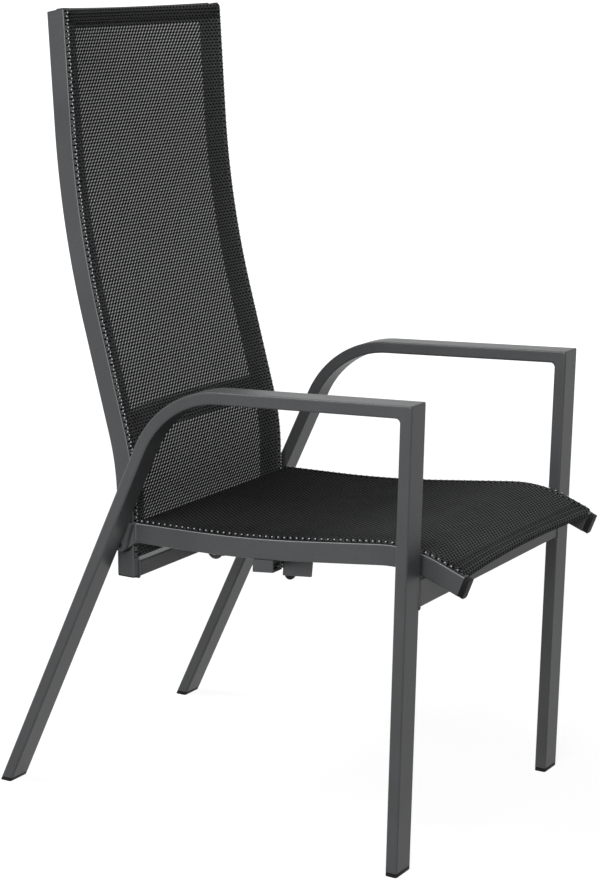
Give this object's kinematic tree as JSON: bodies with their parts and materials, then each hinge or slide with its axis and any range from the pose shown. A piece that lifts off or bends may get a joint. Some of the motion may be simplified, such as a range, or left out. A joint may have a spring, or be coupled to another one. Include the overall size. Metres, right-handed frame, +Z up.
{
  "type": "sling patio chair",
  "caption": "High-back reclining garden armchair with a dark woven sling seat and back on a grey tubular metal frame.",
  "frame": {"origin": "centre of the bounding box at floor level, with the back upright", "axes": "+Z up, the sitter faces -Y, and X runs across with the sitter's right hand at -X"},
  "size_m": [0.506, 0.7742, 1.1599],
  "materials": {
    "powder_coat": "satin grey powder coat",
    "black_plastic": "moulded, slightly shiny",
    "sling_cloth": "coated mesh cloth, woven",
    "dark_steel": "black enamel",
    "bright_steel": "ground"
  },
  "bodies": {
    "frame": {"arm_and_rear_leg_left": "powder_coat", "arm_and_rear_leg_right": "powder_coat", "front_cross_tube": "powder_coat", "front_foot_left": "black_plastic", "front_foot_right": "black_plastic", "front_leg_left": "powder_coat", "front_leg_right": "powder_coat", "hinge_bolt_left": "dark_steel", "hinge_bolt_right": "dark_steel", "hinge_bracket_left": "powder_coat", "hinge_bracket_right": "powder_coat", "hinge_spacer_left": "black_plastic", "hinge_spacer_right": "black_plastic", "lever_bearing_block": "powder_coat", "mechanism_tube": "powder_coat", "rear_foot_left": "black_plastic", "rear_foot_right": "black_plastic", "seat_front_bar": "powder_coat", "seat_rail_cap_left": "black_plastic", "seat_rail_cap_right": "black_plastic", "seat_rail_left": "powder_coat", "seat_rail_right": "powder_coat", "seat_rear_bar": "powder_coat", "seat_sling": "sling_cloth", "shaft_ear": "dark_steel", "strut_ear_left": "dark_steel", "strut_ear_right": "dark_steel", "strut_front_pin": "bright_steel"},
    "backrest": {"back_bottom_bar": "powder_coat", "back_lug_left": "powder_coat", "back_lug_right": "powder_coat", "back_lumbar_bar": "powder_coat", "back_rail_foot_plug_left": "black_plastic", "back_rail_foot_plug_right": "black_plastic", "back_rail_left": "powder_coat", "back_rail_right": "powder_coat", "back_rail_top_plug_left": "powder_coat", "back_rail_top_plug_right": "powder_coat", "back_sling": "sling_cloth", "back_top_bar": "powder_coat", "hinge_bush_left": "black_plastic", "hinge_bush_right": "black_plastic", "strut_rear_pin": "bright_steel"},
    "strut_cylinder": {"strut_cylinder": "dark_steel", "strut_head": "dark_steel"},
    "strut_rod": {"strut_rod": "bright_steel", "strut_rod_eye": "dark_steel"},
    "release_lever": {"release_lever": "powder_coat", "release_shaft": "dark_steel", "release_finger": "dark_steel", "lever_bumper": "black_plastic"},
    "valve_pin": {"valve_pin": "bright_steel"}
  },
  "joints": [
    {"name": "recline", "type": "hinge", "parent": "frame", "child": "backrest", "pos_m": [0, 0.18111, 0.3918], "axis": [-1, 0, 0], "range_deg": [0, 28]},
    {"name": "strut_swing", "type": "hinge", "parent": "frame", "child": "strut_cylinder", "pos_m": [0, -0.03989, 0.36733], "axis": [1, 0, 0], "range_deg": [0, 5.33]},
    {"name": "strut_slide", "type": "slide", "parent": "strut_cylinder", "child": "strut_rod", "axis": [0, 0.9905, -0.1376], "range_m": [-0.02312, 0]},
    {"name": "release", "type": "hinge", "parent": "frame", "child": "release_lever", "pos_m": [0, -0.07089, 0.39397], "axis": [-1, 0, 0], "range_deg": [0, 12], "stiffness_Nm_per_rad": 0.9, "springref_deg": -6.88},
    {"name": "valve_travel", "type": "slide", "parent": "strut_cylinder", "child": "valve_pin", "axis": [0, -0.1376, -0.9905], "range_m": [0, 0.0029]}
  ],
  "couplings": [
    {"joint": "strut_swing", "follows": "recline", "ratio": 0.18839},
    {"joint": "strut_slide", "follows": "recline", "m_per_rad": -0.046894},
    {"joint": "valve_travel", "follows": "release", "m_per_rad": 0.013369}
  ]
}
